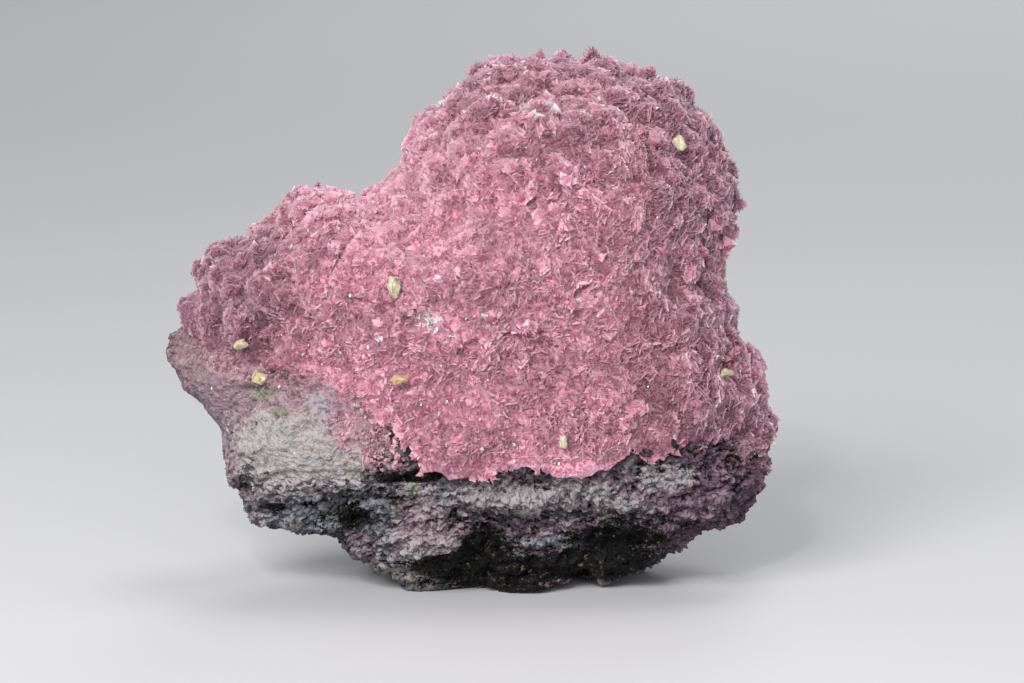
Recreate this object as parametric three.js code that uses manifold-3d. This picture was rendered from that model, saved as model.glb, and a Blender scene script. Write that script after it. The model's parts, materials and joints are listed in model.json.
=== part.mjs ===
// Axinite on rhodonite, a hand-sized mineral specimen.
//
// A block of grey, foliated rhodonite rock stands on a flat cut foot. A crust of pink rhodonite crystals
// covers its front, top and sides. The crust ends below in an overhanging lip, and it carries a few
// wedge-shaped axinite crystals, each seated in a pocket of its own.
//
// Units are millimetres. +Z is up, +X is to the right, and the crystal face looks towards -Y. The forms are
// worked out on the specimen's own plane, which leans back: there x runs to the right, y runs away from the
// crystal face and z runs up the plane, from the front edge of the foot.

import * as THREE from "three";
import { mergeVertices } from "three/addons/utils/BufferGeometryUtils.js";
import { ConvexGeometry } from "three/addons/geometries/ConvexGeometry.js";
import Module from "manifold-3d";

const wasm = await Module();
wasm.setup();

const { clamp, degToRad, lerp, smoothstep } = THREE.MathUtils;

// Driving dimensions

const lean = degToRad(9); // the face leans back from upright
const footLevel = 1.4; // where the foot is cut, above the outline's lowest point
const undersideTop = 21; // below this height the outline is the edge of the rock's underside
const heart = new THREE.Vector3(1, 0, 53); // every form is measured outwards from here
const faceDepth = 26; // from the plane of the outline forward to the crystal face
const crustThickness = 4.5;
const gap = 0.35; // between pieces that lie against each other
const crustMesh = 13; // subdivisions of the crystal crust
const seatMesh = 8; // subdivisions of the seat, which is where rock and crust meet
const meshSpread = new THREE.Vector3(60, 36, 54); // keeps facets alike in size on this flat block

// The outline seen square to the face: x and height, clockwise from the top of the dome.
const outline = [
  [18, 109.5], [28, 109], [39, 103.5], [42, 103], [50, 94.5], [49.5, 90.5], [54, 87.5], [54.5, 84],
  [52.5, 73], [49.5, 63], [54, 57.5], [54, 52.5], [57, 50.5], [59.5, 40], [61.5, 37], [60.5, 34],
  [62, 30.5], [61, 28.5], [62.5, 26], [57, 20.5], [54, 14.5], [47, 13.5], [40, 8], [30, 4],
  [21, 3.5], [13.5, 1], [3, 0], [-8, -1], [-17.5, 2], [-27, 10], [-36, 13], [-45, 14],
  [-48, 20.5], [-51, 23], [-50, 31.5], [-57.5, 41.5], [-62.5, 51.5], [-61, 58], [-57, 61.5], [-56.5, 66.5],
  [-52, 70.5], [-46.5, 72.5], [-40.5, 77.5], [-38.5, 81], [-30, 83], [-26, 80.5], [-22, 79.5], [-20, 83.5],
  [-15, 87.5], [-12, 95.5], [-8, 99], [-3.5, 102], [-2, 105.5], [5.5, 109],
];

// Broken faces behind: the direction that each looks in and how far it lies from the heart.
const backFaces = [
  { looks: [0.1, 1, 0.1], distance: 38 },
  { looks: [-0.1, 0.75, 0.66], distance: 43 },
  { looks: [-0.75, 0.66, -0.1], distance: 45 },
  { looks: [0.7, 0.7, 0.05], distance: 47 },
];

// Swells and hollows of the face: middle, reach along x and z, and how far the face rises there.
const faceRelief = [
  { name: "dome", at: [19, 86], reach: [26, 22], rise: 7 },
  { name: "crease right of the dome", at: [46, 68], reach: [9, 6], rise: -5 },
  { name: "saddle left of the dome", at: [-9, 76], reach: [13, 7], rise: -3 },
  { name: "left shoulder", at: [-32, 68], reach: [14, 10], rise: 2 },
  { name: "ridge across the middle", at: [2, 60], reach: [38, 8], rise: 3.5 },
  { name: "trough under the ridge", at: [14, 45], reach: [24, 6], rise: -3 },
  { name: "swell above the lip", at: [4, 31], reach: [26, 7], rise: 4 },
  { name: "rib at the right", at: [46, 40], reach: [6, 12], rise: 3 },
  { name: "pale flank at the left", at: [-34, 32], reach: [14, 9], rise: 3 },
  { name: "shelf under the lip", at: [14, 19], reach: [30, 3], rise: 2 },
  { name: "hollow under the shelf", at: [14, 12.5], reach: [22, 3.2], rise: -3 },
  { name: "pit low at the left", at: [-25, 15.5], reach: [4, 3.2], rise: -5 },
  { name: "dark bulge over the foot", at: [8, 6], reach: [18, 3], rise: 1.5 },
];

// Height of the crust's lower edge along x. Left of softEdge the crust thins out with no lip.
const lipEdge = [
  [-62, 57], [-54, 47], [-46, 43], [-35, 40], [-26, 37], [-21, 33], [-16, 28], [-10, 24.5], [1, 24], [9, 25.5],
  [17, 23.5], [26, 24.5], [33, 27.5], [43, 29], [49, 32], [55, 30], [64, 26],
];
const softEdge = [-34, -17];
const crustReach = { left: 10, right: 17, top: 24 }; // how far the crust runs behind the outline

// The rock is foliated. Its layers have jagged edges that step in and out, and rise a little to the right.
const layers = {
  axis: [12, 10], // x and y of the upright line that they are laid out round
  heights: [-12, 3, 7.5, 10, 15.5, 18.5, 21, 26.5, 31, 39, 45, 55, 62, 73, 81, 93, 104],
  corners: 54,
  rise: 0.09, // towards +X
  wave: 2.6,
  juts: 1.9, // how far a layer's edge wanders in and out
  teeth: 1.2, // the small irregularity on top of that
  follow: 0.65, // 0 gives upright edges, 1 gives edges that follow the block's slope
  lowest: 4, // below this height the rock goes straight down into its foot
};

// Crystals of the crust, as slanting points: how many of its facets carry one, and how high they are
const point = { share: 0.46, low: 1.4, high: 3, slant: 0.4 };

// Axinite crystals: place on the face, length, and turn about the direction that the face looks in there
const axinites = [
  { at: [-15.5, 61.5], length: 4, turn: 80 },
  { at: [-46, 50.5], length: 3, turn: 10 },
  { at: [-42, 44.5], length: 3.4, turn: 120 },
  { at: [-14.5, 43.5], length: 2.8, turn: 20 },
  { at: [50, 44.5], length: 2.4, turn: 45 },
  { at: [17.5, 31.5], length: 2.4, turn: 95 },
  { at: [40.5, 90], length: 2.6, turn: 150 },
];
const axiniteLift = 1.2; // how far a crystal's middle stands off the crust

// Seeded numbers and noise

function seeded(seed) {
  let state = seed;
  return () => {
    state = (state + 0x6d2b79f5) | 0;
    let t = Math.imul(state ^ (state >>> 15), 1 | state);
    t = (t + Math.imul(t ^ (t >>> 7), 61 | t)) ^ t;
    return ((t ^ (t >>> 14)) >>> 0) / 4294967296;
  };
}

// A fixed number from 0 to 1 for each cell of a grid.
function cellValue(i, j, k) {
  let h = Math.imul(i, 374761393) + Math.imul(j, 668265263) + Math.imul(k, 2147483647);
  h = Math.imul(h ^ (h >>> 13), 1274126177);
  return ((h ^ (h >>> 16)) >>> 0) / 4294967296;
}

// Smooth noise from -1 to 1 whose lumps are about `size` wide.
function noise(p, size) {
  const q = [p.x / size, p.y / size, p.z / size];
  const cell = q.map(Math.floor);
  const share = q.map((v, n) => smoothstep(v - cell[n], 0, 1));
  let sum = 0;
  for (let corner = 0; corner < 8; corner++) {
    const step = [corner & 1, (corner >> 1) & 1, corner >> 2];
    const weight = step.reduce((w, s, n) => w * (s ? share[n] : 1 - share[n]), 1);
    sum += weight * cellValue(cell[0] + step[0], cell[1] + step[1], cell[2] + step[2]);
  }
  return sum * 2 - 1;
}

// The block's own form

// Distance from the heart to the outline, in the direction of an angle on the plane.
function outlineRadius(angle) {
  const c = Math.cos(angle);
  const s = Math.sin(angle);
  let radius = 0;
  outline.forEach(([x0, z0], n) => {
    const [x1, z1] = outline[(n + 1) % outline.length];
    const [ax, az, bx, bz] = [x0 - heart.x, z0 - heart.z, x1 - x0, z1 - z0];
    const cross = c * bz - s * bx;
    if (Math.abs(cross) < 1e-9) return;
    const along = (s * ax - c * az) / cross;
    const distance = (ax * bz - az * bx) / cross;
    if (along >= -1e-9 && along <= 1 + 1e-9 && distance > radius) radius = distance;
  });
  return radius;
}

// The outline without its small knobs, never outside the true one.
function calmRadius(angle) {
  const spread = degToRad(24);
  const samples = 12;
  let sum = 0;
  for (let n = 0; n <= samples; n++) sum += outlineRadius(angle + spread * ((2 * n) / samples - 1));
  return Math.min(outlineRadius(angle), sum / (samples + 1));
}

// Distance from the heart to the block's surface. calm leaves out the outline's small knobs.
function blockRadius(d, calm) {
  const angle = Math.atan2(d.z, d.x);
  const inPlane = Math.hypot(d.x, d.z);
  const down = inPlane > 0 ? smoothstep(-d.z / inPlane, 0.45, 0.9) : 0;
  const away = smoothstep(Math.abs(d.y), 0.1, 0.5);
  let rim = lerp(calm ? calmRadius(angle) : outlineRadius(angle), calmRadius(angle) * 0.97, away);
  if (d.y > 0) rim += 4 * away * down * inPlane; // the underside stays low, so that the foot is broad
  const power = d.y > 0 ? 4.5 : lerp(2.7, 1.75, down * inPlane);
  let sum = (inPlane / rim) ** power + (Math.max(0, -d.y) / faceDepth) ** power;
  const behind = smoothstep(d.y, 0, 0.35);
  for (const { looks, distance } of backFaces) {
    const facing = new THREE.Vector3(...looks).normalize().dot(d);
    sum += ((behind * Math.max(0, facing)) / distance) ** power;
  }
  return sum ** (-1 / power);
}

function surfacePoint(d, radius) {
  return d.clone().multiplyScalar(radius).add(heart);
}

// How far the face rises or sinks along d.
function reliefAt(p, d) {
  const facing = smoothstep(-d.y, 0.1, 0.6);
  let rise = 0;
  for (const { at, reach, rise: most } of faceRelief) {
    rise += most * Math.exp(-(((p.x - at[0]) / reach[0]) ** 2) - ((p.z - at[1]) / reach[1]) ** 2);
  }
  return rise * facing + noise(p, 13) * lerp(0.5, 1.5, Math.abs(d.y)) + noise(p, 6.5) * 0.7;
}

// Where the crust lies

function lipHeight(x) {
  const last = lipEdge.length - 1;
  const n = clamp(lipEdge.findIndex((edge) => edge[0] > x), 1, last);
  const [[x0, z0], [x1, z1]] = [lipEdge[n - 1], lipEdge[n]];
  return lerp(z0, z1, clamp((x - x0) / (x1 - x0), 0, 1));
}

// Millimetres inside the crust's edge; negative on bare rock.
function insideCrust(p) {
  const behind = Math.max(0, p.y);
  const side = lerp(crustReach.left, crustReach.right, smoothstep(p.x, -45, 45));
  const reach = lerp(side, crustReach.top, smoothstep(p.z, 60, 95)) + noise(p, 17) * 5;
  const above = p.z - lipHeight(p.x) - 0.8 * behind + noise(p, 5) * 0.8;
  return Math.min(above, reach - p.y);
}

// Thickness of the crust, thin at its soft left edge and where it ends behind.
function thicknessAt(p, inside) {
  const soft = 1 - smoothstep(p.x, softEdge[0], softEdge[1]);
  const edge = crustThickness * (1 - 0.75 * Math.max(soft, smoothstep(p.y, 0, 8)));
  return lerp(edge, crustThickness, smoothstep(inside, 0, 12));
}

// Forms of the pieces, as distances from the heart

function envelope(d) {
  const p = surfacePoint(d, blockRadius(d, false));
  return blockRadius(d, false) + reliefAt(p, d);
}

function rockRadius(d) {
  const whole = envelope(d);
  const p = surfacePoint(d, whole);
  const inside = insideCrust(p);
  const tucked = thicknessAt(p, inside) * smoothstep(inside, -11, -0.5) * (1 - smoothstep(inside, 0, 3));
  return whole - tucked - 0.6 * (1 - smoothstep(inside, -3, 0));
}

function seatRadius(d) {
  const calm = blockRadius(d, true);
  const p = surfacePoint(d, calm);
  const inside = insideCrust(p);
  const seat = calm + reliefAt(p, d) - thicknessAt(p, inside) - 1.2;
  return lerp(calm + 12, seat, smoothstep(inside, -2, -1));
}

function crustRadius(d) {
  const whole = envelope(d);
  const p = surfacePoint(d, whole);
  const inside = insideCrust(p);
  const buried = whole - thicknessAt(p, inside) - 5;
  return lerp(buried, whole - 1 + noise(p, 3.7) * 1.3, smoothstep(inside, -0.6, 1.2));
}

// Solids

function solidOf(geometry) {
  const bare = geometry.clone();
  bare.deleteAttribute("normal");
  bare.deleteAttribute("uv");
  const merged = mergeVertices(bare, 1e-4);
  const vertProperties = new Float32Array(merged.attributes.position.array);
  const triVerts = new Uint32Array(merged.index.array);
  return new wasm.Manifold(new wasm.Mesh({ numProp: 3, vertProperties, triVerts }));
}

function geometryOf(solid) {
  const { vertProperties, triVerts } = solid.getMesh();
  const geometry = new THREE.BufferGeometry();
  geometry.setAttribute("position", new THREE.BufferAttribute(new Float32Array(vertProperties), 3));
  geometry.setIndex(new THREE.BufferAttribute(new Uint32Array(triVerts), 1));
  return geometry;
}

// Turns the direction nearest to a corner of the outline exactly towards it.
function nearestTo(directions, x, z) {
  const corner = new THREE.Vector3(x - heart.x, 0, z - heart.z).normalize();
  directions.reduce((a, b) => (a.dot(corner) > b.dot(corner) ? a : b)).copy(corner);
}

// A closed form round the heart: a subdivided icosahedron pushed out to radiusOf, on the leaning plane.
function formAround(detail, radiusOf) {
  const ball = new THREE.IcosahedronGeometry(1, detail);
  ball.deleteAttribute("normal");
  ball.deleteAttribute("uv");
  const geometry = mergeVertices(ball, 1e-4);
  const position = geometry.attributes.position;
  const directions = Array.from({ length: position.count }, (_, n) =>
    new THREE.Vector3().fromBufferAttribute(position, n).multiply(meshSpread).normalize(),
  );
  if (detail === crustMesh) outline.forEach(([x, z]) => nearestTo(directions, x, z));
  directions.forEach((d, n) => position.setXYZ(n, ...surfacePoint(d, radiusOf(d))));
  return geometry;
}

// Raises a leaning three-sided point on some of the facets that lie on the crust.
function raisePoints(geometry, random) {
  const position = geometry.attributes.position;
  const places = Array.from(position.array);
  const faces = [];
  const corner = [0, 1, 2].map(() => new THREE.Vector3());
  for (let f = 0; f < geometry.index.count; f += 3) {
    const ids = [0, 1, 2].map((n) => geometry.index.getX(f + n));
    ids.forEach((id, n) => corner[n].fromBufferAttribute(position, id));
    const middle = corner[0].clone().add(corner[1]).add(corner[2]).divideScalar(3);
    const grows = random() < point.share;
    const height = lerp(point.low, point.high, random());
    const favoured = corner[Math.floor(random() * 3)];
    if (!grows || insideCrust(middle) < 2.5) {
      faces.push(...ids);
      continue;
    }
    const normal = new THREE.Triangle(...corner).getNormal(new THREE.Vector3());
    const tip = middle.lerp(favoured, point.slant).addScaledVector(normal, height);
    const top = places.length / 3;
    places.push(...tip);
    for (let n = 0; n < 3; n++) faces.push(ids[n], ids[(n + 1) % 3], top);
  }
  const grown = new THREE.BufferGeometry();
  grown.setAttribute("position", new THREE.Float32BufferAttribute(places, 3));
  grown.setIndex(faces);
  return grown;
}

// A point of the crystal face at x and z, and the direction that the face looks in there.
function faceAt(x, z, radiusOf) {
  const d = new THREE.Vector3();
  let y = -faceDepth;
  for (let n = 0; n < 12; n++) {
    d.set(x - heart.x, y, z - heart.z).normalize();
    y = radiusOf(d) * d.y;
  }
  const place = surfacePoint(d, radiusOf(d));
  const step = 2.5;
  const right = sampleBeside(d, step, 0, radiusOf).sub(sampleBeside(d, -step, 0, radiusOf));
  const up = sampleBeside(d, 0, step, radiusOf).sub(sampleBeside(d, 0, -step, radiusOf));
  return { place, looks: right.cross(up).normalize() };
}

function sampleBeside(d, right, up, radiusOf) {
  const reach = radiusOf(d);
  const beside = d.clone().addScaledVector(new THREE.Vector3(right, 0, up), 1 / reach).normalize();
  return surfacePoint(beside, radiusOf(beside));
}

function turnTo(looks, turn) {
  const stand = new THREE.Quaternion().setFromUnitVectors(new THREE.Vector3(0, 0, 1), looks);
  return stand.multiply(new THREE.Quaternion().setFromAxisAngle(new THREE.Vector3(0, 0, 1), turn));
}

// Axinite grows in flat wedges like an axe head, with a sharp edge across the top.
function axiniteGeometry(length) {
  const corners = [
    [-0.5, -0.3, -0.45], [0.45, -0.34, -0.45], [0.5, 0.3, -0.45], [-0.4, 0.34, -0.45],
    [-0.55, -0.2, 0.05], [0.5, -0.26, 0.1], [0.56, 0.2, 0.02], [-0.44, 0.26, 0.08],
    [-0.36, 0.02, 0.42], [0.3, -0.04, 0.46],
  ];
  return new ConvexGeometry(corners.map((c) => new THREE.Vector3(...c).multiplyScalar(length)));
}

function makeAxinite({ at, length, turn }, number) {
  const material = new THREE.MeshStandardMaterial({ color: 0xcdc287, roughness: 0.35, metalness: 0 });
  const crystal = new THREE.Mesh(axiniteGeometry(length), material);
  const { place, looks } = faceAt(at[0], at[1], crustRadius);
  crystal.name = "axinite_crystal_" + number;
  crystal.position.copy(place).addScaledVector(looks, axiniteLift);
  crystal.quaternion.copy(turnTo(looks, degToRad(turn)));
  crystal.updateMatrix();
  return crystal;
}

// The crystal with the gap round it, which is the pocket that it sits in.
function pocketOf(crystal, length) {
  const room = 1 + (2.6 * gap) / length;
  return solidOf(crystal.geometry.clone().scale(room, room, room).applyMatrix4(crystal.matrix));
}

// Everything above the level on which the specimen stands, on the leaning plane.
function aboveFoot() {
  const side = 400;
  const block = new THREE.BoxGeometry(side, side, side).translate(0, 0, side / 2);
  return solidOf(block.rotateX(lean).translate(0, 0, footLevel));
}

// Everything above the lower edge of the outline, from front to back: no rock hangs below that edge.
function aboveUnderside() {
  const side = 400;
  const edge = outline.filter(([, z]) => z < undersideTop);
  const corners = [...edge, [-side, undersideTop], [-side, side], [side, side], [side, undersideTop]];
  const section = new THREE.Shape(corners.map((corner) => new THREE.Vector2(...corner)));
  const block = new THREE.ExtrudeGeometry(section, { depth: side, bevelEnabled: false });
  return solidOf(block.rotateX(Math.PI / 2).translate(0, side / 2, 0));
}

// The point where a ray that leaves the axis at an angle, at a height, comes out of the rock.
function rockEdge(angle, height, grow) {
  const direction = new THREE.Vector3(Math.cos(angle), (meshSpread.y / meshSpread.x) * Math.sin(angle), 0);
  const place = new THREE.Vector3();
  const level = Math.max(height, layers.lowest);
  let [inner, outer] = [0.5, 100];
  for (let halving = 0; halving < 12; halving++) {
    const reach = (inner + outer) / 2;
    place.set(...layers.axis, level).addScaledVector(direction, reach);
    place.z += layers.rise * place.x + layers.wave * noise(place, 21);
    const fromHeart = place.clone().sub(heart);
    const isInside = fromHeart.length() < rockRadius(fromHeart.normalize()) + grow;
    [inner, outer] = isInside ? [reach, outer] : [inner, reach];
  }
  place.z += height - level;
  return place;
}

// The foliated rock as stacked layers, each with an upright jagged edge.
function layeredRock() {
  const { heights, corners, juts, teeth, follow } = layers;
  const places = [];
  const faces = [];
  for (let layer = 0; layer < heights.length - 1; layer++) {
    const [low, high] = [heights[layer], heights[layer + 1]];
    const angles = Array.from({ length: corners }, (_, n) => (2 * Math.PI * (n + layer / 2)) / corners);
    const edges = angles.map((angle) => rockEdge(angle, (low + high) / 2, 0));
    const jags = edges.map((edge) => juts * noise(edge, 11) + teeth * noise(edge, 3.9));
    for (const height of [low + 0.3, high - 0.3]) {
      angles.forEach((angle, n) => {
        const middle = rockEdge(angle, (low + high) / 2, jags[n]);
        const edge = rockEdge(angle, height, jags[n]);
        places.push(lerp(middle.x, edge.x, follow), lerp(middle.y, edge.y, follow), edge.z);
      });
    }
  }
  const rings = places.length / 3 / corners;
  places.push(...layers.axis, heights[0], ...layers.axis, heights.at(-1) + 1);
  for (let n = 0; n < corners; n++) {
    const next = (n + 1) % corners;
    faces.push(rings * corners, next, n);
    faces.push(rings * corners + 1, (rings - 1) * corners + n, (rings - 1) * corners + next);
    for (let a = 0; a < (rings - 1) * corners; a += corners) {
      faces.push(a + n, a + next, a + corners + next, a + n, a + corners + next, a + corners + n);
    }
  }
  const geometry = new THREE.BufferGeometry();
  geometry.setAttribute("position", new THREE.Float32BufferAttribute(places, 3));
  geometry.setIndex(faces);
  return geometry;
}

function makeMatrix(pockets) {
  const seat = solidOf(formAround(seatMesh, seatRadius));
  const block = solidOf(layeredRock()).intersect(seat).intersect(aboveUnderside());
  const rock = block.intersect(aboveFoot()).subtract(pockets);
  const material = new THREE.MeshStandardMaterial({ color: 0x9b9498, roughness: 0.9, metalness: 0 });
  const mesh = new THREE.Mesh(geometryOf(largestOf(rock)), material);
  mesh.name = "rhodonite_matrix";
  return mesh;
}

function makeCrust(pockets) {
  const coat = solidOf(raisePoints(formAround(crustMesh, crustRadius), seeded(41)));
  const seat = solidOf(formAround(seatMesh, (d) => seatRadius(d) + gap));
  const crust = coat.subtract(seat).subtract(pockets);
  const material = new THREE.MeshStandardMaterial({ color: 0xd08a9c, roughness: 0.55, metalness: 0 });
  const mesh = new THREE.Mesh(geometryOf(largestOf(crust)), material);
  mesh.name = "rhodonite_crust";
  return mesh;
}

// Cutting can leave crumbs beside the piece itself.
function largestOf(solid) {
  return solid.decompose().reduce((a, b) => (a.volume() > b.volume() ? a : b));
}

// The specimen leans back and stands with the middle of its extent over the origin.
function makeSpecimen() {
  const crystals = axinites.map((axinite, n) => makeAxinite(axinite, n + 1));
  const pockets = wasm.Manifold.union(crystals.map((crystal, n) => pocketOf(crystal, axinites[n].length)));
  const leaning = new THREE.Group();
  leaning.rotation.x = -lean;
  leaning.add(makeMatrix(pockets), makeCrust(pockets), ...crystals);
  const specimen = new THREE.Group();
  specimen.add(leaning);
  specimen.updateMatrixWorld(true);
  const extent = new THREE.Box3().setFromObject(specimen, true);
  const middle = extent.getCenter(new THREE.Vector3());
  leaning.position.set(-middle.x, -middle.y, -extent.min.z);
  return specimen;
}

export default makeSpecimen();
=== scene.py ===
import json
import math
import random

import bmesh
import bpy
from mathutils import Matrix, Vector
from mathutils.bvhtree import BVHTree

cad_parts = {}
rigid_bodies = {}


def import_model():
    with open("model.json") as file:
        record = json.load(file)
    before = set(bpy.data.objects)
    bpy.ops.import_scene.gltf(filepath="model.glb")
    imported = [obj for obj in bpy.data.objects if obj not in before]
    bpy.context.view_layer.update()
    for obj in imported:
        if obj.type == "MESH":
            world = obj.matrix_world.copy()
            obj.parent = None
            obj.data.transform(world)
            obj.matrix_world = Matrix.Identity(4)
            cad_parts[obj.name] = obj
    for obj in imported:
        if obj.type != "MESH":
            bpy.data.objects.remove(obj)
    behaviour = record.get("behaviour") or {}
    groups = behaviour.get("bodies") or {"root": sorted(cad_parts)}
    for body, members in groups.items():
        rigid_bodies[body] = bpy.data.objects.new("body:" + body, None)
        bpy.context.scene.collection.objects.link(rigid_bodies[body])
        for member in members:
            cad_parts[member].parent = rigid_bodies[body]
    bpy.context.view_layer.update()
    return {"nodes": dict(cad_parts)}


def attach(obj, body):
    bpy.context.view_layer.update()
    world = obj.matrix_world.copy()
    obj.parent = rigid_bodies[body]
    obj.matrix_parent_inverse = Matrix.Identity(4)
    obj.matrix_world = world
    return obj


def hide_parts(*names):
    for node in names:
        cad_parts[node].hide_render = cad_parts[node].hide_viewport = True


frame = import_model()
scene = bpy.context.scene
mm = 0.001

# The crystal face lies on a plane that leans back. Places on the specimen are given on that plane, in
# millimetres: x to the right, y away from the face, z up the plane.
facePlane = {
    "origin": Vector((-0.585, -10.997, -1.383)),
    "lean": math.radians(9),
    "heart": Vector((1, 0, 53)),
}


def toWorld(place):
    return (worldDirection(place) + facePlane["origin"]) * mm


def worldDirection(direction):
    return Matrix.Rotation(-facePlane["lean"], 3, "X") @ Vector(direction)


def paint(red, green, blue):
    # a colour from 0 to 255 as a screen shows it, for a shader
    shares = [value / 255 for value in (red, green, blue)]
    return tuple(v / 12.92 if v < 0.04045 else ((v + 0.055) / 1.055) ** 2.4 for v in shares)


# A value in a node tree. Arithmetic on it adds Math nodes.
class Field:
    def __init__(self, graph, socket):
        self.graph = graph
        self.socket = socket

    def math(self, operation, *others):
        values = dict(enumerate((self, *others)))
        return self.graph.node("ShaderNodeMath", {"operation": operation}, values)

    def __add__(self, other):
        return self.math("ADD", other)

    __radd__ = __add__

    def __mul__(self, other):
        return self.math("MULTIPLY", other)

    __rmul__ = __mul__

    def __sub__(self, other):
        return self.math("SUBTRACT", other)

    def __rsub__(self, other):
        return self.graph.node("ShaderNodeMath", {"operation": "SUBTRACT"}, {0: other, 1: self})

    def __truediv__(self, other):
        return self.math("DIVIDE", other)

    def __pow__(self, other):
        return self.math("POWER", other)

    def atLeast(self, other):
        return self.math("MAXIMUM", other)

    def atMost(self, other):
        return self.math("MINIMUM", other)

    def above(self, other):
        return self.math("GREATER_THAN", other)

    def between(self, low, high):
        # 0 at low, 1 at high, smooth in between, in either order
        ends = {"Value": self, "From Min": min(low, high), "From Max": max(low, high)}
        ends["To Min"] = float(low > high)
        ends["To Max"] = float(low < high)
        return self.graph.node("ShaderNodeMapRange", {"interpolation_type": "SMOOTHSTEP"}, ends)


# A node tree being built, for a material or for geometry
class Graph:
    def __init__(self, tree):
        self.tree = tree

    def node(self, kind, settings=None, values=None, output=0):
        made = self.tree.nodes.new(kind)
        for name, value in (settings or {}).items():
            if name == "stops":
                self.setStops(made.color_ramp, value)
            else:
                setattr(made, name, value)
        for name, value in (values or {}).items():
            if isinstance(value, Field):
                self.tree.links.new(value.socket, made.inputs[name])
            else:
                made.inputs[name].default_value = value
        return Field(self, made.outputs[output]) if made.outputs else None

    def setStops(self, ramp, stops):
        while len(ramp.elements) < len(stops):
            ramp.elements.new(0.5)
        for element, (place, colour) in zip(ramp.elements, stops):
            element.position = place
            element.color = (*colour, 1)

    def vector(self, operation, a, b):
        return self.node("ShaderNodeVectorMath", {"operation": operation}, {0: a, 1: b})

    def scaled(self, vector, factor):
        return self.node("ShaderNodeVectorMath", {"operation": "SCALE"}, {0: vector, "Scale": factor})

    def joined(self, x, y, z):
        return self.node("ShaderNodeCombineXYZ", None, {0: x, 1: y, 2: z})

    def split(self, vector):
        return [self.node("ShaderNodeSeparateXYZ", None, {0: vector}, axis) for axis in range(3)]

    # A position in metres as a place on the leaning plane, in millimetres
    def onFacePlane(self, position):
        moved = self.vector("SUBTRACT", position, facePlane["origin"] * mm)
        values = {"Vector": moved, "Angle": facePlane["lean"]}
        turned = self.node("ShaderNodeVectorRotate", {"rotation_type": "X_AXIS"}, values)
        return self.scaled(turned, 1 / mm)

    def noise(self, place, size, detail=2.0, roughness=0.5):
        values = {"Vector": place, "Scale": 1 / size, "Detail": detail, "Roughness": roughness}
        return self.node("ShaderNodeTexNoise", None, values)

    def cells(self, place, size, feature="SMOOTH_F1"):
        values = {"Vector": place, "Scale": 1 / size}
        if feature == "SMOOTH_F1":
            values["Smoothness"] = 0.35
        return self.node("ShaderNodeTexVoronoi", {"feature": feature}, values)

    # 1 in the middle of an upright oval on the face, fading to 0 at about twice its reach
    def oval(self, place, at, reach):
        x, _, z = self.split(place)
        squares = ((x - at[0]) / reach[0]) ** 2 + ((z - at[1]) / reach[1]) ** 2
        return (squares * -1).math("EXPONENT")

    # A height with ovals added to it, each given by its place, its reach and its height in the middle
    def hills(self, place, spots, height=0):
        for at, reach, middle in spots:
            height = self.oval(place, at, reach) * middle + height
        return height

    # Millimetres, seen square to the face, from a line between two places on it
    def beside(self, place, start, end):
        x, _, z = self.split(place)
        run = (end[0] - start[0], end[1] - start[1])
        length = math.hypot(*run)
        along = ((x - start[0]) * run[0] + (z - start[1]) * run[1]) / length
        across = ((x - start[0]) * run[1] - (z - start[1]) * run[0]) / length
        past = (along - length).atLeast(0) + (along * -1).atLeast(0)
        return (across * across + past * past).math("SQRT")

    def mix(self, factor, a, b, blend="MIX"):
        values = {0: factor, 6: asColour(a), 7: asColour(b)}
        return self.node("ShaderNodeMix", {"data_type": "RGBA", "blend_type": blend}, values, 2)

    def ramp(self, value, stops):
        return self.node("ShaderNodeValToRGB", {"stops": stops}, {"Fac": value})

    def bump(self, height, strength, depth):
        values = {"Strength": strength, "Distance": depth * mm, "Height": height}
        return self.node("ShaderNodeBump", None, values)

    def finish(self, geometry):
        ends = self.tree.nodes.new("NodeGroupOutput")
        self.tree.links.new(geometry.socket, ends.inputs[0])


def asColour(value):
    return value if isinstance(value, Field) else (*value, 1)


# Shader values of the current surface, on the leaning plane
def shaderPlace(graph):
    return graph.onFacePlane(graph.node("ShaderNodeTexCoord", None, None, "Object"))


def attribute(graph, name):
    return graph.node("ShaderNodeAttribute", {"attribute_name": name}, None, "Fac")


def plainSurface(colour, roughness):
    return lambda graph: {"Base Color": (*colour, 1), "Roughness": roughness}


def makeMaterial(name, build):
    material = bpy.data.materials.new(name)
    material.use_nodes = True
    material.node_tree.nodes.clear()
    graph = Graph(material.node_tree)
    shader = graph.node("ShaderNodeBsdfPrincipled", None, build(graph))
    graph.node("ShaderNodeOutputMaterial", None, {"Surface": shader})
    return material


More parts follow.
